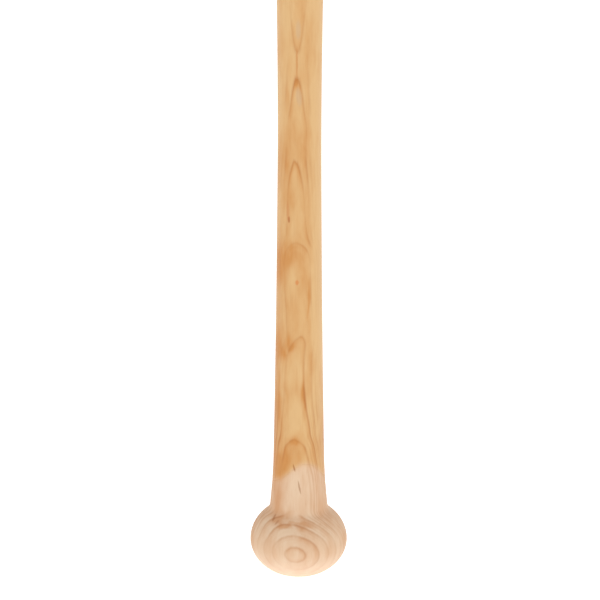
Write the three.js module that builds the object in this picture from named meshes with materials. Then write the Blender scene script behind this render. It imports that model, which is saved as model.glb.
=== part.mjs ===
// A one-piece turned wooden baseball bat with a film of clear lacquer over it.
//
// The bat is a single hardwood billet turned on a lathe: knob, handle and barrel are one piece of
// wood. It is then hung by the knob and dipped, so the lacquer runs from the cup in the barrel end
// down the handle and stops in a slanted, wavy line just above the knob, which stays bare.
//
// Millimetres. +Z runs along the bat from knob to barrel. The origin is the centre of the flat on
// the knob's end, and -Y is the side on which the dip line stands highest.
import * as THREE from "three";

// Whole bat
const batLength = 864;
const segmentsAround = 36;

// Knob: two half-ellipses that meet at the widest ring, cut off flat at the end
const knobRadius = 27;
const knobLowerHeight = 21;
const knobUpperHeight = 22.5;
const knobFlatRadius = 13.5;
const centreMarkRadius = 1.5;
const centreMarkDepth = 1.3;
const handleRootRadius = 16.2;

// Turning chart of the bare wood: height above the knob's flat, and diameter there
const turningChart = [
  [44, 31.0],
  [52, 29.55],
  [60, 28.4],
  [72, 27.7],
  [90, 27.0],
  [120, 25.95],
  [160, 24.8],
  [200, 23.95],
  [248, 23.25],
  [304, 23.95],
  [360, 25.9],
  [410, 29.7],
  [460, 34.3],
  [510, 39.6],
  [560, 45.5],
  [610, 51.5],
  [660, 56.8],
  [710, 60.6],
  [760, 62.6],
  [800, 63.2],
  [850, 62.4],
];
const ringsPerStation = 2;

// Barrel end: a rounded shoulder, a narrow flat rim and a round cup
const rimRadius = 22.5;
const cupMouthRadius = 20;
const cupDepth = 15;

// Lacquer film. Its lower edge, the dip line, is a mean height plus two waves around the handle
const filmThickness = 0.1;
const filmClearance = 0.05;
const dipMeanHeight = 53.8;
const dipFirstWave = 9.5;
const dipThirdWave = 2.5;
const dipCrestAngle = (15 * Math.PI) / 180;
const dipBlendTop = 90;

// Heights that follow from the sizes above
const knobWidestHeight = knobLowerHeight * Math.sqrt(1 - (knobFlatRadius / knobRadius) ** 2);
const handleRootAngle = Math.acos(handleRootRadius / knobRadius);
const handleRootHeight = knobWidestHeight + knobUpperHeight * Math.sin(handleRootAngle);
const chart = [[handleRootHeight, 2 * handleRootRadius], ...turningChart];
const [shoulderHeight, shoulderDiameter] = chart[chart.length - 1];

// Slope of the chart at a station, weighted so that a long step counts less than a short one
function slopeAt(index) {
  const slope = (from) => (chart[from + 1][1] - chart[from][1]) / (chart[from + 1][0] - chart[from][0]);
  if (index === 0) return slope(0);
  if (index === chart.length - 1) return slope(index - 1);
  const before = chart[index][0] - chart[index - 1][0];
  const after = chart[index + 1][0] - chart[index][0];
  return (slope(index - 1) * after + slope(index) * before) / (before + after);
}

// Radius of the turned wood at a height: a smooth cubic through the turning chart
function woodRadius(height) {
  let index = 0;
  while (index < chart.length - 2 && height > chart[index + 1][0]) index += 1;
  const [startHeight, startDiameter] = chart[index];
  const [endHeight, endDiameter] = chart[index + 1];
  const step = endHeight - startHeight;
  const t = (height - startHeight) / step;
  const rise = 3 * t ** 2 - 2 * t ** 3;
  const leave = (t ** 3 - 2 * t ** 2 + t) * step * slopeAt(index);
  const arrive = (t ** 3 - t ** 2) * step * slopeAt(index + 1);
  return (startDiameter + (endDiameter - startDiameter) * rise + leave + arrive) / 2;
}

// Points [radius, height] along an elliptical arc from one angle to another
function arc(centreRadius, centreHeight, semiRadius, semiHeight, from, to, steps) {
  const points = [];
  for (let step = 0; step <= steps; step += 1) {
    const angle = from + ((to - from) * step) / steps;
    points.push([centreRadius + semiRadius * Math.cos(angle), centreHeight + semiHeight * Math.sin(angle)]);
  }
  return points;
}

// Knob outline from the rim of its flat up to the ring where the handle grows out of it
function knobOutline() {
  const flatAngle = -Math.acos(knobFlatRadius / knobRadius);
  const lower = arc(0, knobWidestHeight, knobRadius, knobLowerHeight, flatAngle, 0, 6);
  const upper = arc(0, knobWidestHeight, knobRadius, knobUpperHeight, 0, handleRootAngle, 6);
  return [...lower, ...upper.slice(1, -1)];
}

// Heights of the rings between the first station wanted and the barrel's shoulder
function ringHeights(firstHeight) {
  const heights = [firstHeight];
  for (let index = 0; index < chart.length - 1; index += 1) {
    for (let part = 1; part <= ringsPerStation; part += 1) {
      const height = chart[index][0] + ((chart[index + 1][0] - chart[index][0]) * part) / ringsPerStation;
      if (height > firstHeight) heights.push(height);
    }
  }
  return heights;
}

// Handle and barrel outline, standing proud of the wood by an offset
function shaftOutline(firstHeight, offset) {
  return ringHeights(firstHeight).map((height) => [woodRadius(height) + offset, height]);
}

// Barrel end outline: shoulder, rim and cup, in to the axis
function endOutline(offset) {
  const endHeight = batLength - filmThickness - filmClearance + offset;
  const width = shoulderDiameter / 2 - rimRadius + offset;
  const shoulder = arc(rimRadius, shoulderHeight, width, endHeight - shoulderHeight, 0, Math.PI / 2, 5);
  const cupRadius = (cupMouthRadius ** 2 + cupDepth ** 2) / (2 * cupDepth) - offset;
  const cupCentre = batLength - cupDepth + cupRadius + offset;
  const mouthAngle = Math.asin((endHeight - cupCentre) / cupRadius);
  const cup = arc(0, cupCentre, cupRadius, cupRadius, mouthAngle, -Math.PI / 2, 5);
  const cupBottom = [0, cupCentre - cupRadius];
  return [...shoulder.slice(1), ...cup.slice(0, -1), cupBottom];
}

// Solid of revolution about Z from a list of [radius, height]
function turned(outline) {
  const points = outline.map(([radius, height]) => new THREE.Vector2(radius, height));
  return new THREE.LatheGeometry(points, segmentsAround).rotateX(Math.PI / 2);
}

function woodGeometry() {
  const centreMark = [[0, centreMarkDepth], [centreMarkRadius, 0]];
  const shaft = shaftOutline(handleRootHeight, 0);
  return turned([...centreMark, ...knobOutline(), ...shaft, ...endOutline(0)]);
}

// How far the dip line stands above its mean height, at an angle from -Y towards +X
function dipLineRise(angle) {
  const turn = angle - dipCrestAngle;
  return dipFirstWave * Math.cos(turn) + dipThirdWave * Math.cos(3 * turn);
}

// Moves the film's lower end to the dip line; the rings above fade back to level
function followDipLine(geometry) {
  const position = geometry.getAttribute("position");
  for (let index = 0; index < position.count; index += 1) {
    const x = position.getX(index);
    const y = position.getY(index);
    const z = position.getZ(index);
    if (z >= dipBlendTop) continue;
    const radius = Math.hypot(x, y);
    const fade = (dipBlendTop - z) / (dipBlendTop - dipMeanHeight);
    const height = z + fade * dipLineRise(Math.atan2(x, -y));
    const scale = (woodRadius(height) + radius - woodRadius(z)) / radius;
    position.setXYZ(index, x * scale, y * scale, height);
  }
  return geometry;
}

function filmGeometry() {
  const inner = filmClearance;
  const outer = filmClearance + filmThickness;
  const outside = [...shaftOutline(dipMeanHeight, outer), ...endOutline(outer)];
  const inside = [...shaftOutline(dipMeanHeight, inner), ...endOutline(inner)];
  return followDipLine(turned([...outside, ...inside.reverse(), outside[0]]));
}

function piece(name, geometry, color, roughness) {
  const mesh = new THREE.Mesh(geometry, new THREE.MeshStandardMaterial({ color, roughness, metalness: 0 }));
  mesh.name = name;
  return mesh;
}

const bat = new THREE.Group();
bat.add(piece("turned_billet", woodGeometry(), 0xe0bd98, 0.6));
bat.add(piece("lacquer_film", filmGeometry(), 0xdbaa70, 0.25));

export default bat;
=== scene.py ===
import math

import bpy
from mathutils import Matrix, Vector, noise


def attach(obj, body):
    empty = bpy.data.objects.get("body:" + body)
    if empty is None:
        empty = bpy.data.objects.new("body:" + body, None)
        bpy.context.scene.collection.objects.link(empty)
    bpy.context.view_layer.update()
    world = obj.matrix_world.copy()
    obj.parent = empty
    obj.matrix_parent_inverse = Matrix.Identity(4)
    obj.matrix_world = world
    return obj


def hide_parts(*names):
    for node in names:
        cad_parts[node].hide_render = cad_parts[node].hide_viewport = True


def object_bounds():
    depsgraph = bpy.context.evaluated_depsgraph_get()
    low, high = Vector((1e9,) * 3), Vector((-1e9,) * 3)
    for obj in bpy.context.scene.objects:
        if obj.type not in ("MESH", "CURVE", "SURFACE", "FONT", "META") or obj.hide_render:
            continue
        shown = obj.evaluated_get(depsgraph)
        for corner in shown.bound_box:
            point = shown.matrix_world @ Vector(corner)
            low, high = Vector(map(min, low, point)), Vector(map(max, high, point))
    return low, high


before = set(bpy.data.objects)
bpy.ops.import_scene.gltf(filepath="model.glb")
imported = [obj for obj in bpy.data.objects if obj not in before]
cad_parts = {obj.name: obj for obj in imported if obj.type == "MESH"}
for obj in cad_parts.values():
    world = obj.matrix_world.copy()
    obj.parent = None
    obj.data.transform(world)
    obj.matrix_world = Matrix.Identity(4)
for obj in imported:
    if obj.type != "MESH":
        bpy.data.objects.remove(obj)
cad_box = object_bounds()

# ---------------------------------------------------------------- sizes, in metres

bat_length = cad_box[1][2]

# Knob: two half-ellipses that meet at the widest ring, cut off flat at the end
knob_radius = 0.027
knob_lower_height = 0.021
knob_upper_height = 0.0225
knob_flat_radius = 0.0135
knob_flat_fillet = 0.0012
handle_root_radius = 0.0162
handle_root_fillet = 0.0028
centre_mark_radius = 0.0015
centre_mark_depth = 0.0013

# Turning chart of the bare wood: height above the knob's flat, and diameter there
turning_chart = [
    (0.044, 0.03100),
    (0.052, 0.02955),
    (0.060, 0.02840),
    (0.072, 0.02770),
    (0.090, 0.02700),
    (0.120, 0.02595),
    (0.160, 0.02480),
    (0.200, 0.02395),
    (0.248, 0.02325),
    (0.304, 0.02395),
    (0.360, 0.02590),
    (0.410, 0.02970),
    (0.460, 0.03430),
    (0.510, 0.03960),
    (0.560, 0.04550),
    (0.610, 0.05150),
    (0.660, 0.05680),
    (0.710, 0.06060),
    (0.760, 0.06260),
    (0.800, 0.06320),
    (0.850, 0.06240),
]

# Barrel end: a rounded shoulder, a narrow flat rim and a round cup
rim_radius = 0.0225
rim_edge_radius = 0.0008
cup_mouth_radius = 0.020
cup_depth = 0.015

# Lacquer film: how far its inner skin stands off the wood, its thickness, and how far its outer
# skin stands off at the lower edge, growing to the full distance over the taper
film_clearance = 0.00005
film_thickness = 0.0001
film_edge_distance = 0.00007
film_edge_taper = 0.006

# Edge of the lacquer: its height is the mean plus two waves around the handle. The film is first
# turned with a level edge, and then bent to the dip line, less and less up to the blend's top
dip_mean_height = 0.0538
dip_first_wave = 0.0095
dip_third_wave = 0.0025
dip_crest_angle = math.radians(15)
film_level_edge = 0.045
dip_blend_top = 0.090

# Rings of vertices along the bat: close together where the grain is busiest, and wide apart on
# the wood that the film hides and on the film's inner skin
segments_around = 192
first_ring_gap = 0.0005
fine_spacing = 0.0007
handle_spacing = 0.0018
barrel_spacing = 0.0035
hidden_spacing = 0.006
bare_wood_top = 0.070
hidden_wood_height = 0.075
fine_film_height = 0.100
handle_top_height = 0.310
taper_top_height = 0.580

# Map of the surface for baked textures: rings laid out in columns, with gaps between them
texture_map_name = "OFBake"
texture_gap = 0.01

# ---------------------------------------------------------------- smooth curves through points


def chart_slope(chart, index):
    """Slope of a chart at a point, weighted so that a long step counts less than a short one."""

    def slope(start):
        return (chart[start + 1][1] - chart[start][1]) / (chart[start + 1][0] - chart[start][0])

    if index == 0:
        return slope(0)
    if index == len(chart) - 1:
        return slope(index - 1)
    before = chart[index][0] - chart[index - 1][0]
    after = chart[index + 1][0] - chart[index][0]
    return (slope(index - 1) * after + slope(index) * before) / (before + after)


def along(chart, place):
    """Value at a place of the smooth cubic through a chart's points, straight beyond its ends."""
    if place <= chart[0][0]:
        return chart[0][1] + chart_slope(chart, 0) * (place - chart[0][0])
    if place >= chart[-1][0]:
        return chart[-1][1] + chart_slope(chart, len(chart) - 1) * (place - chart[-1][0])
    index = 0
    while place > chart[index + 1][0]:
        index += 1
    (start, low), (end, high) = chart[index], chart[index + 1]
    step = end - start
    t = (place - start) / step
    rise = 3 * t ** 2 - 2 * t ** 3
    leave = (t ** 3 - 2 * t ** 2 + t) * step * chart_slope(chart, index)
    arrive = (t ** 3 - t ** 2) * step * chart_slope(chart, index + 1)
    return low + (high - low) * rise + leave + arrive


def smooth_step(low, high, value):
    """Smooth change from 0 to 1 as a value goes from low to high."""
    t = min(1.0, max(0.0, (value - low) / (high - low)))
    return t * t * (3 - 2 * t)


# ---------------------------------------------------------------- outline of the turned wood

knob_widest_height = knob_lower_height * math.sqrt(1 - (knob_flat_radius / knob_radius) ** 2)
handle_root_angle = math.acos(handle_root_radius / knob_radius)
handle_root_height = knob_widest_height + knob_upper_height * math.sin(handle_root_angle)
shaft_chart = [(handle_root_height, 2 * handle_root_radius)] + turning_chart
shoulder_height, shoulder_diameter = shaft_chart[-1]


def wood_radius(height):
    """Radius of the bare wood above the knob."""
    return along(shaft_chart, height) / 2


def steps(start, end, spacing):
    """Even steps from start to end, both included, about a spacing apart."""
    count = max(1, round(abs(end - start) / spacing))
    return [start + (end - start) * step / count for step in range(count + 1)]


def arc(centre_radius, centre_height, semi_radius, semi_height, start, end, count):
    """Points (radius, height) along an elliptical arc from one angle to another."""
    points = []
    for angle in steps(start, end, abs(end - start) / count):
        radius = centre_radius + semi_radius * math.cos(angle)
        points.append((radius, centre_height + semi_height * math.sin(angle)))
    return points


def corner(before, point, after, size, count):
    """A rounded corner at a point, from one neighbour's side to the other's, as a quadratic curve."""
    here = Vector(point)
    start = here + (Vector(before) - here).normalized() * size
    end = here + (Vector(after) - here).normalized() * size
    points = []
    for t in steps(0, 1, 1 / count):
        points.append(tuple(start * (1 - t) ** 2 + here * 2 * t * (1 - t) + end * t ** 2))
    return points


def knob_outline():
    """From the axis over the knob's flat and round its side, to the foot of the handle's fillet."""
    flat_angle = -math.acos(knob_flat_radius / knob_radius)
    lower = arc(0, knob_widest_height, knob_radius, knob_lower_height, flat_angle, 0, 36)
    upper = arc(0, knob_widest_height, knob_radius, knob_upper_height, 0, handle_root_angle, 40)
    mark_edge = (centre_mark_radius, 0.0)
    # The flat's rounded edge stands in for the arc's first points
    flat_edge = corner(mark_edge, lower[0], lower[3], knob_flat_fillet, 5)
    flat = [(centre_mark_radius + 0.0002, 0.0), (0.004, 0.0), (0.0075, 0.0)]
    mark = [(0.0, centre_mark_depth), (0.0007, 0.0007), (centre_mark_radius - 0.0002, 0.00015)]
    return mark + flat + flat_edge + lower[3:] + upper[1:-2]


def heights_between(*parts):
    """Ring heights through parts laid end to end, each given as its start and its spacing."""
    heights = []
    for (start, spacing), (end, _) in zip(parts, parts[1:]):
        heights += steps(start, end, spacing)[:-1]
    return heights + [parts[-1][0]]


def end_outline(offset):
    """Barrel end: shoulder, rim and cup, in to the axis, standing proud of the wood by an offset."""
    end_height = bat_length - film_thickness - film_clearance + offset
    width = shoulder_diameter / 2 - rim_radius + offset
    shoulder = arc(rim_radius, shoulder_height, width, end_height - shoulder_height, 0, math.pi / 2, 22)
    cup_radius = (cup_mouth_radius ** 2 + cup_depth ** 2) / (2 * cup_depth) - offset
    cup_centre = bat_length - cup_depth + cup_radius + offset
    mouth_angle = math.asin((end_height - cup_centre) / cup_radius)
    cup = arc(0, cup_centre, cup_radius, cup_radius, mouth_angle, -math.pi / 2, 24)
    lip = corner(shoulder[-1], cup[0], cup[1], rim_edge_radius, 5)
    return shoulder[1:] + lip + cup[1:-1] + [(0.0, cup[-1][1])]


def billet_outline():
    """The whole billet, with a fillet in the crease between knob and handle."""
    knob = knob_outline()
    root = (handle_root_radius, handle_root_height)
    above = (wood_radius(handle_root_height + 0.003), handle_root_height + 0.003)
    fillet = corner(knob[-3], root, above, handle_root_fillet, 7)
    # The knob's points that the fillet cuts off are left out
    foot_radius, foot_height = fillet[0]
    clear_radius = foot_radius + 0.0002
    below_fillet = [point for point in knob if point[1] < foot_height or point[0] > clear_radius]
    first = fillet[-1][1] + first_ring_gap
    hidden = (hidden_wood_height, hidden_spacing)
    heights = heights_between((first, fine_spacing), hidden, (shoulder_height, 0))
    shaft = [(wood_radius(height), height) for height in heights]
    return below_fillet + fillet + shaft + end_outline(0.0)


def rings_below(outline, height):
    """Number of rings before an outline first rises past a height."""
    return next(index for index, point in enumerate(outline) if point[1] > height)


def dip_height(angle):
    """Height of the lacquer's edge at an angle from the front, -Y, turning towards +X."""
    turn = angle - dip_crest_angle
    return dip_mean_height + dip_first_wave * math.cos(turn) + dip_third_wave * math.cos(3 * turn)


# ---------------------------------------------------------------- the wood's growth layers

# The layers lie nearly flat and face the front, turned a little to one side; angle at a height
turn_chart = [
    (0.020, math.radians(-4.5)),
    (0.0265, math.radians(-6)),
    (0.0335, math.radians(-13)),
    (0.043, math.radians(-9)),
    (0.079, math.radians(-9.5)),
    (0.103, math.radians(-11.5)),
    (0.121, math.radians(-11)),
    (0.129, math.radians(-7)),
    (0.137, math.radians(3)),
    (0.146, math.radians(1)),
    (0.165, math.radians(-5)),
    (0.190, math.radians(-7.5)),
    (0.232, math.radians(-11)),
    (0.262, math.radians(-7)),
    (0.300, math.radians(-6)),
    (0.864, math.radians(-3)),
]

# How far the layers lean forwards at a height: they ripple along the handle
lean_chart = [
    (0.0135, -0.00010),
    (0.018, 0.00000),
    (0.022, 0.00020),
    (0.028, 0.00060),
    (0.0335, 0.00010),
    (0.040, 0.00020),
    (0.050, -0.00020),
    (0.059, -0.00030),
    (0.069, 0.00090),
    (0.0765, 0.00170),
    (0.079, 0.00230),
    (0.0815, 0.00275),
    (0.087, 0.00310),
    (0.102, 0.00400),
    (0.115, 0.00400),
    (0.1345, 0.00435),
    (0.1375, 0.00465),
    (0.146, 0.00490),
    (0.170, 0.00450),
    (0.180, 0.00455),
    (0.184, 0.00490),
    (0.187, 0.00560),
    (0.1895, 0.00645),
    (0.193, 0.00715),
    (0.199, 0.00750),
    (0.212, 0.00765),
    (0.2195, 0.00780),
    (0.237, 0.00850),
    (0.252, 0.00855),
    (0.262, 0.00925),
    (0.270, 0.00960),
    (0.279, 0.01000),
    (0.287, 0.01020),
    (0.295, 0.01005),
    (0.303, 0.00990),
    (0.330, 0.00930),
    (0.400, 0.00850),
    (0.520, 0.00600),
    (0.640, 0.00550),
    (0.760, 0.00800),
    (0.864, 0.01100),
]

# Depth of each numbered growth line, measured towards the front
layer_chart = [
    (-0.0450, -14.0),
    (0.0019, 0.0),
    (0.0034, 1.0),
    (0.0056, 2.0),
    (0.0081, 3.0),
    (0.01135, 4.0),
    (0.0157, 5.0),
    (0.0201, 6.0),
    (0.0237, 7.0),
    (0.02637, 8.0),
    (0.0310, 9.3),
]
waviness = 0.00005

# Steps over which the layers' thickness and their slope along the surface are measured, and the
# least slope that counts, for where the surface lies almost along a layer
depth_step = 0.0002
place_step = 0.0003
least_crossing = 0.07

# How dark the growth lines are at a height
line_chart = [
    (0.010, 0.6),
    (0.030, 0.9),
    (0.040, 0.45),
    (0.060, 0.5),
    (0.075, 1.0),
    (0.100, 0.8),
    (0.128, 0.6),
    (0.140, 0.5),
    (0.160, 0.5),
    (0.185, 0.6),
    (0.191, 0.5),
    (0.199, 0.3),
    (0.215, 0.3),
    (0.224, 0.7),
    (0.234, 0.9),
    (0.243, 0.4),
    (0.255, 0.4),
    (0.270, 0.8),
    (0.290, 0.6),
    (0.310, 0.4),
    (0.400, 0.7),
    (0.864, 0.8),
]

# Where growth lines on the front are darker or fainter than that: x, height, half-width,
# half-height, and by how much
line_patches = [
    (-0.0045, 0.0338, 0.0080, 0.0026, 1.6),
    (0.0000, 0.0375, 0.0100, 0.0020, -0.8),
    (-0.0020, 0.0790, 0.0060, 0.0040, 1.2),
    (-0.0080, 0.0720, 0.0030, 0.0060, 0.8),
    (-0.0050, 0.1330, 0.0045, 0.0040, 0.8),
    (0.0030, 0.1050, 0.0020, 0.0100, 0.8),
    (0.0040, 0.1860, 0.0030, 0.0060, 0.7),
    (-0.0050, 0.1860, 0.0035, 0.0070, -0.4),
    (-0.0015, 0.2760, 0.0020, 0.0050, 0.5),
    (0.0070, 0.3000, 0.0030, 0.0330, -0.6),
    (-0.0080, 0.3000, 0.0030, 0.0330, -0.6),
    (0.0075, 0.2450, 0.0030, 0.0200, -0.4),
    (-0.0085, 0.2450, 0.0030, 0.0200, -0.3),
    (0.0200, 0.0220, 0.0090, 0.0120, -0.5),
]

# Soft patches on the front: x, height, half-width, half-height, and how much darker or paler
stains = [
    (-0.0040, 0.0710, 0.0050, 0.0065, 0.8),
    (-0.0105, 0.0640, 0.0035, 0.0060, 1.0),
    (-0.0125, 0.0450, 0.0028, 0.0110, 0.9),
    (-0.0065, 0.0375, 0.0030, 0.0025, 0.6),
    (-0.0030, 0.0328, 0.0080, 0.0013, 1.1),
    (0.0060, 0.0324, 0.0050, 0.0011, 0.8),
    (-0.0110, 0.0335, 0.0030, 0.0025, 0.5),
    (0.0120, 0.0350, 0.0050, 0.0050, 0.25),
    (0.0000, 0.0310, 0.0250, 0.0070, -0.3),
    (0.0030, 0.0480, 0.0060, 0.0110, -0.25),
    (-0.0020, 0.0785, 0.0045, 0.0025, 0.5),
    (0.0026, 0.1070, 0.0012, 0.0120, 0.5),
    (-0.0070, 0.1080, 0.0015, 0.0080, 0.6),
    (-0.0115, 0.1050, 0.0015, 0.0250, 0.6),
    (-0.0010, 0.0930, 0.0040, 0.0100, -0.6),
    (0.0000, 0.1180, 0.0030, 0.0085, -0.5),
    (-0.0085, 0.1280, 0.0028, 0.0038, 1.0),
    (-0.0045, 0.1340, 0.0034, 0.0034, 1.0),
    (-0.0110, 0.1330, 0.0020, 0.0080, 0.5),
    (-0.0035, 0.1830, 0.0038, 0.0065, 0.8),
    (-0.0105, 0.1780, 0.0034, 0.0100, 0.9),
    (0.0053, 0.1550, 0.0009, 0.0110, 0.7),
    (-0.0045, 0.2120, 0.0040, 0.0070, 0.45),
    (-0.0020, 0.2430, 0.0050, 0.0140, 0.3),
    (-0.0014, 0.2765, 0.0010, 0.0030, 0.6),
    (0.0100, 0.1650, 0.0038, 0.0450, -1.0),
    (0.0100, 0.2650, 0.0050, 0.0500, -0.6),
    (-0.0090, 0.2750, 0.0035, 0.0300, -0.4),
    (0.0090, 0.0950, 0.0030, 0.0220, -0.4),
]
patch_wander = 0.0016
patch_reach = 3

# The patches are whole in front of the first of these places in Y, and gone behind the second
patch_front = -0.002
patch_back = 0.006

axes = list(Matrix.Identity(3))


def ragged(x, y, z, across, up, shift=0.0):
    """Smooth noise, finer across the bat than along it."""
    return noise.noise(Vector((x * across, y * across, z * up + shift)))


def grain_depth(x, y, z):
    """Depth towards the front that decides the growth layer at a point."""
    turn = along(turn_chart, z)
    depth = x * math.sin(turn) - y * math.cos(turn) - along(lean_chart, z)
    return depth + waviness * ragged(x, y, z, 90, 30)


def patchwork(patches, place):
    """Sum of the soft patches at a point; they are ragged, and only on the front."""
    x, y, z = place
    if y > patch_back:
        return 0.0
    x += patch_wander * ragged(x, y, z, 240, 110)
    z += 2 * patch_wander * ragged(x, y, z, 240, 110, 50)
    total = 0.0
    for centre_x, centre_z, half_width, half_height, amount in patches:
        far = ((x - centre_x) / half_width) ** 2 + ((z - centre_z) / half_height) ** 2
        if far < patch_reach ** 2:
            total += amount * math.exp(-far)
    return total * smooth_step(patch_back, patch_front, y)


# Each value below is stored at the vertices, and is worked out from a vertex's place and normal


def growth_layer(place, normal):
    """Number of the growth layer, whole at each growth line."""
    return along(layer_chart, grain_depth(*place))


def line_spacing(place, normal):
    """Distance between growth lines along the surface at a point, in millimetres."""
    depth = grain_depth(*place)
    moved = [grain_depth(*(place + place_step * axis)) for axis in axes]
    slope = Vector([(other - depth) / place_step for other in moved])
    crossing = (slope - slope.dot(normal) * normal).length
    layers = along(layer_chart, depth + depth_step) - along(layer_chart, depth - depth_step)
    return 1000 * 2 * depth_step / layers / max(crossing, least_crossing)


def line_strength(place, normal):
    """How dark the lines are: fainter on the sides of the handle's front, most on the right."""
    x, y, z = place
    beside = 0.6 * smooth_step(0.004, 0.009, x) + 0.4 * smooth_step(-0.006, -0.009, x)
    beside *= smooth_step(patch_back, patch_front, y)
    beside *= smooth_step(0.085, 0.110, z) * smooth_step(0.45, 0.35, z)
    return along(line_chart, z) * (1 - beside) + patchwork(line_patches, place)


def fine_strength(place, normal):
    """The fine grain shows most on the handle's right side, just above the knob."""
    x, y, z = place
    beside = smooth_step(0.003, 0.007, x) * smooth_step(0.010, -0.002, y)
    return beside * smooth_step(0.105, 0.080, z) * smooth_step(0.022, 0.036, z)


def stain(place, normal):
    """How much darker or paler than the rest the wood is at a point."""
    return patchwork(stains, place)


def height_over_dip(place, normal):
    """Height over the lacquer's edge, in millimetres."""
    return 1000 * (place.z - dip_height(math.atan2(place.x, -place.y)))


# ---------------------------------------------------------------- meshes


def texture_strips(outline, columns):
    """Where each strip between two rings lies on the texture: its left edge, width, foot and top.

    The rings are laid out in columns side by side, each given by its last ring and its width.
    """
    strips = []
    left = texture_gap
    first = 0
    for last, width in columns:
        lengths = [0.0]
        for point, following in zip(outline[first:last], outline[first + 1:last + 1]):
            lengths.append(lengths[-1] + math.dist(point, following))
        levels = [texture_gap + (1 - 2 * texture_gap) * length / lengths[-1] for length in lengths]
        strips += [(left, width, foot, top) for foot, top in zip(levels, levels[1:])]
        left += width + texture_gap
        first = last
    return strips


def turned_mesh(name, outline, columns):
    """A mesh turned about Z, with its seam at the back.

    The outline starts and ends on the axis, or closes on itself.
    """
    vertices = []
    rings = []
    closed = outline[0] == outline[-1]
    for radius, height in outline[:-1] if closed else outline:
        if radius == 0.0:
            rings.append([len(vertices)] * (segments_around + 1))
            vertices.append((0.0, 0.0, height))
            continue
        ring = list(range(len(vertices), len(vertices) + segments_around))
        rings.append(ring + ring[:1])
        for segment in range(segments_around):
            angle = 2 * math.pi * segment / segments_around - math.pi
            vertices.append((radius * math.sin(angle), -radius * math.cos(angle), height))
    if closed:
        rings.append(rings[0])
    faces = []
    texture_points = []
    strips = texture_strips(outline, columns)
    for lower, upper, (left, width, foot, top) in zip(rings, rings[1:], strips):
        for segment in range(segments_around):
            beside = segment + 1
            edge, far_edge = [left + width * place / segments_around for place in (segment, beside)]
            # Where a strip meets the axis, two corners fall together and the face is a triangle
            corners = {}
            corners.setdefault(lower[segment], (edge, foot))
            corners.setdefault(lower[beside], (far_edge, foot))
            corners.setdefault(upper[beside], (far_edge, top))
            corners.setdefault(upper[segment], (edge, top))
            if len(corners) > 2:
                faces.append(list(corners))
                texture_points += list(corners.values())
    mesh = bpy.data.meshes.new(name)
    mesh.from_pydata(vertices, [], faces)
    mesh.shade_smooth()
    texture_map = mesh.uv_layers.new(name=texture_map_name)
    texture_map.data.foreach_set("uv", [level for point in texture_points for level in point])
    return mesh


def add_values(mesh, function):
    """Stores a number at every vertex, worked out from its place and normal, for the material."""
    layer = mesh.attributes.new(function.__name__, "FLOAT", "POINT")
    layer.data.foreach_set("value", [function(vertex.co, vertex.normal) for vertex in mesh.vertices])


def add_piece(mesh, material):
    """Puts a mesh in the scene with its material and all the values that the material reads."""
    for function in (growth_layer, line_spacing, line_strength, fine_strength, stain, height_over_dip):
        add_values(mesh, function)
    piece = bpy.data.objects.new(mesh.name, mesh)
    bpy.context.scene.collection.objects.link(piece)
    mesh.materials.append(material)
    return piece


def billet_mesh():
    """The wood; most of its texture is for the stretch that the film leaves bare."""
    outline = billet_outline()
    columns = [(rings_below(outline, bare_wood_top), 0.70), (len(outline) - 1, 0.27)]
    return turned_mesh("bat_wood", outline, columns)


def film_outside():
    """Outer skin of the lacquer from a level edge to the cup; the film is thinnest at its edge."""
    outer = film_clearance + film_thickness
    edge = (film_level_edge, fine_spacing)
    handle = (fine_film_height, handle_spacing)
    barrel = (handle_top_height, barrel_spacing)
    outline = []
    for height in heights_between(edge, handle, barrel, (shoulder_height, 0)):
        taper = smooth_step(film_level_edge, film_level_edge + film_edge_taper, height)
        proud = film_edge_distance + (outer - film_edge_distance) * taper
        outline.append((wood_radius(height) + proud, height))
    return outline + end_outline(outer)


def film_inside():
    """Inner skin of the lacquer; it is out of sight, so every other ring of its end is enough."""
    edge = (film_level_edge, hidden_spacing / 2)
    above = (fine_film_height, hidden_spacing * 2)
    heights = heights_between(edge, above, (shoulder_height, 0))
    outline = [(wood_radius(height) + film_clearance, height) for height in heights]
    end = end_outline(film_clearance)
    return outline + end[:-1:2] + end[-1:]


def film_mesh():
    """The lacquer: an outer and an inner skin, joined on the axis and along the dip line."""
    outside = film_outside()
    inside = film_inside()
    outline = outside + inside[::-1] + outside[:1]
    columns = [
        (rings_below(outline, handle_top_height), 0.33),
        (rings_below(outline, taper_top_height), 0.26),
        (len(outside) - 1, 0.26),
        (len(outline) - 1, 0.09),
    ]
    mesh = turned_mesh("lacquer_coat", outline, columns)
    for vertex in mesh.vertices:
        x, y, z = vertex.co
        if z >= dip_blend_top:
            continue
        radius = math.hypot(x, y)
        shift = dip_height(math.atan2(x, -y)) - film_level_edge
        height = z + shift * (dip_blend_top - z) / (dip_blend_top - film_level_edge)
        proud = radius - wood_radius(z)
        scale = (wood_radius(height) + proud) / radius
        vertex.co = (x * scale, y * scale, height)
    return mesh


# ---------------------------------------------------------------- materials


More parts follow.
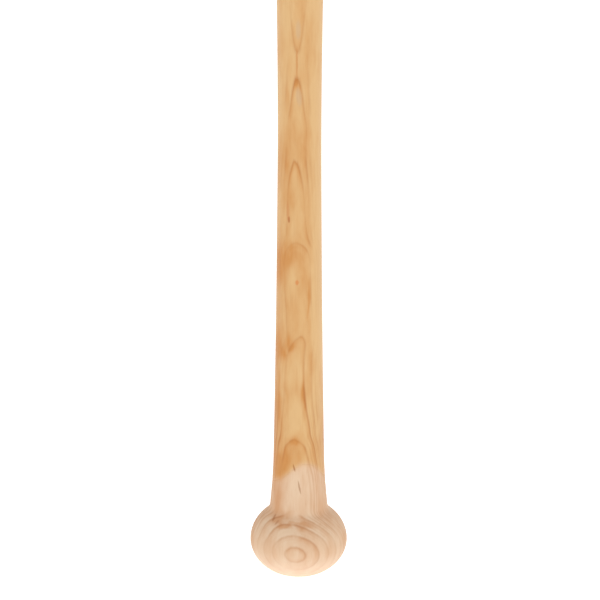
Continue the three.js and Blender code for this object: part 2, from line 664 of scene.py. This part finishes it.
class Nodes:
    """The node tree of a material or a world, written one call per node."""

    def __init__(self, owner, shader_name):
        owner.use_nodes = True
        self.owner = owner
        self.tree = owner.node_tree
        self.shader = self.tree.nodes[shader_name]

    def put(self, value, socket):
        """Links a node's output to a socket, or sets the socket to a plain value."""
        if isinstance(value, bpy.types.NodeSocket):
            self.tree.links.new(value, socket)
        else:
            socket.default_value = value

    def shade(self, label, value):
        """Links or sets one of the shader's own sockets."""
        self.put(value, self.shader.inputs[label])

    def maths(self, operation, first, second=0.0, third=0.0):
        node = self.tree.nodes.new("ShaderNodeMath")
        node.operation = operation
        for value, socket in zip((first, second, third), node.inputs):
            self.put(value, socket)
        return node.outputs[0]

    def value_at(self, name):
        """A number stored at the vertices, blended between them."""
        node = self.tree.nodes.new("ShaderNodeAttribute")
        node.attribute_name = name
        return node.outputs["Fac"]

    def coordinates(self, kind="Object"):
        """X, Y and Z: of the point on the object in its own frame, in metres, unless told otherwise."""
        place = self.tree.nodes.new("ShaderNodeTexCoord")
        split = self.tree.nodes.new("ShaderNodeSeparateXYZ")
        self.put(place.outputs[kind], split.inputs[0])
        return list(split.outputs)

    def place(self, stretch):
        """The point on the object in its own frame, in metres, times a stretch along each axis."""
        coordinates = self.tree.nodes.new("ShaderNodeTexCoord")
        node = self.tree.nodes.new("ShaderNodeVectorMath")
        node.operation = "MULTIPLY"
        self.put(coordinates.outputs["Object"], node.inputs[0])
        self.put(stretch, node.inputs[1])
        return node.outputs[0]

    def noise(self, stretch, detail=2.0, roughness=0.5):
        node = self.tree.nodes.new("ShaderNodeTexNoise")
        self.put(self.place(stretch), node.inputs["Vector"])
        self.put(1.0, node.inputs["Scale"])
        self.put(detail, node.inputs["Detail"])
        self.put(roughness, node.inputs["Roughness"])
        return node.outputs[0]

    def ramp(self, value, low, high, start=0.0, end=1.0):
        """Smooth change from start to end as the value goes from low to high."""
        node = self.tree.nodes.new("ShaderNodeMapRange")
        node.interpolation_type = "SMOOTHSTEP"
        self.put(value, node.inputs["Value"])
        limits = {"From Min": low, "From Max": high, "To Min": start, "To Max": end}
        for label, number in limits.items():
            self.put(number, node.inputs[label])
        return node.outputs["Result"]

    def mix(self, factor, first, second):
        """Blend of two colours."""
        node = self.tree.nodes.new("ShaderNodeMix")
        node.data_type = "RGBA"
        self.put(factor, node.inputs["Factor"])
        self.put(first, node.inputs[6])
        self.put(second, node.inputs[7])
        return node.outputs[2]

    def bump(self, height, strength, distance):
        node = self.tree.nodes.new("ShaderNodeBump")
        self.put(strength, node.inputs["Strength"])
        self.put(distance, node.inputs["Distance"])
        self.put(height, node.inputs["Height"])
        self.shade("Normal", node.outputs[0])


def colour(red, green, blue):
    """A display colour, 0 to 255, as the linear colour that a shader takes."""

    def linear(level):
        level /= 255
        return level / 12.92 if level <= 0.04045 else ((level + 0.055) / 1.055) ** 2.4

    return (linear(red), linear(green), linear(blue), 1.0)


# Across the surface, in millimetres: a growth line is soft on both sides, and late wood follows it
line_fade_behind = 1.6
line_fade_ahead = 0.9
late_wood_width = 4.5
fine_lines_per_layer = 3.0

# Where the amber of the lacquer comes in, in millimetres over the dip line, and how ragged that is
amber_start = -2.5
amber_end = 3.5
amber_raggedness = 1.5


def wood_tint(nodes, pale, warm, line):
    """Colour of the wood in one set of tones, from its growth layers, fibres and stains."""
    fibres = nodes.noise((420, 420, 10), 3.0, 0.6)
    wobble = nodes.maths("MULTIPLY_ADD", fibres, 0.10, -0.05)
    layer = nodes.maths("ADD", nodes.value_at("growth_layer"), wobble)
    phase = nodes.maths("FRACT", layer)
    spacing = nodes.value_at("line_spacing")
    behind = nodes.maths("MULTIPLY", phase, spacing)
    ahead = nodes.maths("MULTIPLY", nodes.maths("SUBTRACT", 1.0, phase), spacing)
    line_behind = nodes.ramp(behind, 0.0, line_fade_behind, 1.0, 0.0)
    line_ahead = nodes.ramp(ahead, 0.0, line_fade_ahead, 1.0, 0.0)
    line_shade = nodes.maths("MAXIMUM", line_behind, line_ahead)
    late_shade = nodes.ramp(behind, 0.0, late_wood_width, 1.0, 0.0)
    uneven = nodes.ramp(nodes.noise((110, 110, 34), 2.0, 0.5), 0.32, 0.62, 0.15, 1.0)
    strength = nodes.maths("MULTIPLY", nodes.value_at("line_strength"), uneven)

    blotch = nodes.maths("MULTIPLY_ADD", nodes.noise((150, 150, 40), 3.0, 0.55), 1.5, -0.48)
    late_wood = nodes.maths("MULTIPLY", late_shade, strength)
    warmth = nodes.maths("MULTIPLY_ADD", late_wood, 0.45, blotch)
    warmth = nodes.maths("MULTIPLY_ADD", nodes.value_at("stain"), 0.75, warmth)
    tint = nodes.mix(warmth, pale, warm)
    growth_line = nodes.maths("MULTIPLY", line_shade, strength)
    tint = nodes.mix(nodes.maths("MULTIPLY", growth_line, 0.42), tint, line)

    fine_phase = nodes.maths("FRACT", nodes.maths("MULTIPLY", layer, fine_lines_per_layer))
    fine_line = nodes.ramp(nodes.maths("PINGPONG", fine_phase, 0.5), 0.0, 0.4, 1.0, 0.0)
    fine = nodes.maths("MULTIPLY_ADD", nodes.value_at("fine_strength"), 0.20, 0.03)
    tint = nodes.mix(nodes.maths("MULTIPLY", fine_line, fine), tint, line)
    pores = nodes.ramp(nodes.noise((1500, 1500, 40), 3.0, 0.7), 0.5, 0.8)
    return nodes.mix(nodes.maths("MULTIPLY", pores, 0.15), tint, line)


# Pale wood, warm late wood and dark growth line: bare, and under the lacquer
bare_tones = colour(219, 190, 160), colour(203, 155, 115), colour(177, 119, 75)
amber_tones = colour(213, 174, 122), colour(197, 137, 75), colour(169, 103, 50)

# Small marks on the front: x, height, half-width, half-height, slant, strength and colour
marks = [
    (-0.0015, 0.2868, 0.0006, 0.0085, 0.0, 0.5, colour(190, 122, 62)),
    (-0.0004, 0.2690, 0.0016, 0.0050, -0.10, 0.3, colour(188, 164, 138)),
    (-0.0008, 0.3045, 0.0014, 0.0050, 0.0, 0.3, colour(188, 164, 138)),
    (-0.0056, 0.2026, 0.0007, 0.0018, 0.0, 0.7, colour(170, 100, 56)),
    (-0.0062, 0.2075, 0.0008, 0.0050, 0.0, 0.35, colour(190, 120, 70)),
    (-0.0012, 0.1682, 0.0010, 0.0014, 0.0, 0.6, colour(205, 122, 62)),
    (-0.0026, 0.0638, 0.0005, 0.0022, -0.20, 0.65, colour(158, 98, 48)),
    (0.0004, 0.0527, 0.0005, 0.0038, -0.22, 0.6, colour(160, 114, 80)),
    (-0.0136, 0.0345, 0.0006, 0.0016, 0.6, 0.5, colour(158, 100, 60)),
    (-0.0120, 0.0330, 0.0006, 0.0012, 0.9, 0.4, colour(165, 110, 72)),
]
mark_raggedness = 0.0003


def add_marks(nodes, tint):
    """Draws each mark as a soft, slanted, slightly ragged ellipse on the wood's front."""
    x, y, z = nodes.coordinates()
    front = nodes.ramp(y, -0.004, 0.0, 1.0, 0.0)
    unevenness = nodes.noise((900, 900, 300), 2.0, 0.5)
    shift = nodes.maths("MULTIPLY_ADD", unevenness, 2 * mark_raggedness, -mark_raggedness)
    for centre_x, centre_z, half_width, half_height, slant, strength, tone in marks:
        up = nodes.maths("SUBTRACT", z, centre_z)
        aside = nodes.maths("ADD", nodes.maths("SUBTRACT", x, centre_x), shift)
        aside = nodes.maths("MULTIPLY_ADD", up, -slant, aside)
        far = nodes.maths("POWER", nodes.maths("DIVIDE", aside, half_width), 2.0)
        tall = nodes.maths("POWER", nodes.maths("DIVIDE", up, half_height), 2.0)
        cover = nodes.ramp(nodes.maths("ADD", far, tall), 0.2, 1.6, strength, 0.0)
        tint = nodes.mix(nodes.maths("MULTIPLY", cover, front), tint, tone)
    return tint


def wood_colour(nodes):
    """Bare wood below the dip line, fading into amber above it, with painted floor light on the knob's
    foot.
    """
    unevenness = nodes.noise((200, 200, 60), 2.0, 0.5)
    shift = nodes.maths("MULTIPLY_ADD", unevenness, 2 * amber_raggedness, -amber_raggedness)
    over_dip = nodes.maths("ADD", nodes.value_at("height_over_dip"), shift)
    amber = nodes.ramp(over_dip, amber_start, amber_end)
    tint = nodes.mix(amber, wood_tint(nodes, *bare_tones), wood_tint(nodes, *amber_tones))
    tint = add_marks(nodes, tint)
    # Painted light: the knob's lower part, which faces the floor, is blended towards near white as if
    # lit from below
    foot = nodes.ramp(nodes.coordinates()[2], 0.002, 0.020, 0.5, 0.0)
    return nodes.mix(foot, tint, colour(240, 222, 202))


def new_material(name):
    return Nodes(bpy.data.materials.new(name), "Principled BSDF")


def bare_wood():
    """Turned and sanded wood, with open pores."""
    nodes = new_material("bare_wood")
    nodes.shade("Base Color", wood_colour(nodes))
    nodes.shade("Roughness", 0.7)
    nodes.shade("Specular IOR Level", 0.25)
    nodes.bump(nodes.noise((2600, 2600, 60), 3.0, 0.6), 0.25, 0.00012)
    return nodes.owner


def lacquered_wood():
    """Wood seen through a thin satin lacquer."""
    nodes = new_material("lacquered_wood")
    nodes.shade("Base Color", wood_colour(nodes))
    nodes.shade("Roughness", 0.5)
    nodes.shade("Specular IOR Level", 0.15)
    nodes.shade("Coat Weight", 0.15)
    nodes.shade("Coat Roughness", 0.25)
    nodes.shade("Coat IOR", 1.4)
    nodes.bump(nodes.noise((900, 900, 60), 3.0, 0.6), 0.1, 0.0001)
    return nodes.owner


# ---------------------------------------------------------------- stage, lights and camera

white = (1.0, 1.0, 1.0, 1.0)
floor_size = 24

# Light from the horizon and from the ceiling, how much the ceiling's grows to the right and to the
# front, and the stretch, 0 level and 1 straight up, in which the one goes over into the other
horizon_light = 1.02
ceiling_light = 0.83
ceiling_to_right = 0.12
ceiling_to_front = 0.22
horizon_top = 0.20
ceiling_foot = 0.45

camera_place = (0.00044, -1.2, 0.4551)
camera_tilt = math.radians(90 - 14.02)
camera_roll = math.radians(0.14)
camera_lens = 136.0
camera_sensor = 36.0


def white_floor():
    """White paper, with a glow of its own that keeps it free of shadows."""
    bpy.ops.mesh.primitive_plane_add(size=floor_size)
    floor = bpy.context.object
    floor.name = "floor"
    nodes = new_material("floor_paper")
    nodes.shade("Base Color", (0.8, 0.8, 0.8, 1.0))
    nodes.shade("Roughness", 1.0)
    nodes.shade("Emission Color", white)
    nodes.shade("Emission Strength", 0.7)
    floor.data.materials.append(nodes.owner)
    return floor


def soft_surroundings():
    """A white horizon, a dimmer ceiling, and more light from the front and the right."""
    nodes = Nodes(bpy.data.worlds.new("studio"), "Background")
    x, y, z = nodes.coordinates("Generated")
    ceiling = nodes.maths("MULTIPLY_ADD", x, ceiling_to_right, ceiling_light)
    ceiling = nodes.maths("MULTIPLY_ADD", y, -ceiling_to_front, ceiling)
    overhead = nodes.ramp(z, horizon_top, ceiling_foot)
    change = nodes.maths("SUBTRACT", ceiling, horizon_light)
    nodes.shade("Color", white)
    nodes.shade("Strength", nodes.maths("MULTIPLY_ADD", overhead, change, horizon_light))
    bpy.context.scene.world = nodes.owner


def photo_camera():
    """A long lens in front of the handle, looking down at the knob."""
    camera = bpy.data.cameras.new("camera")
    camera.lens = camera_lens
    camera.sensor_width = camera_sensor
    holder = bpy.data.objects.new("camera", camera)
    holder.location = camera_place
    tilt = Matrix.Rotation(camera_tilt, 3, "X")
    roll = Matrix.Rotation(camera_roll, 3, "Z")
    holder.rotation_euler = (tilt @ roll).to_euler()
    bpy.context.scene.collection.objects.link(holder)
    bpy.context.scene.camera = holder


photo_camera()
soft_surroundings()
white_floor()
bpy.context.scene.view_settings.view_transform = "Standard"

billet = add_piece(billet_mesh(), bare_wood())
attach(billet, "root")
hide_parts("turned_billet")

coat = add_piece(film_mesh(), lacquered_wood())
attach(coat, "root")
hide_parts("lacquer_film")
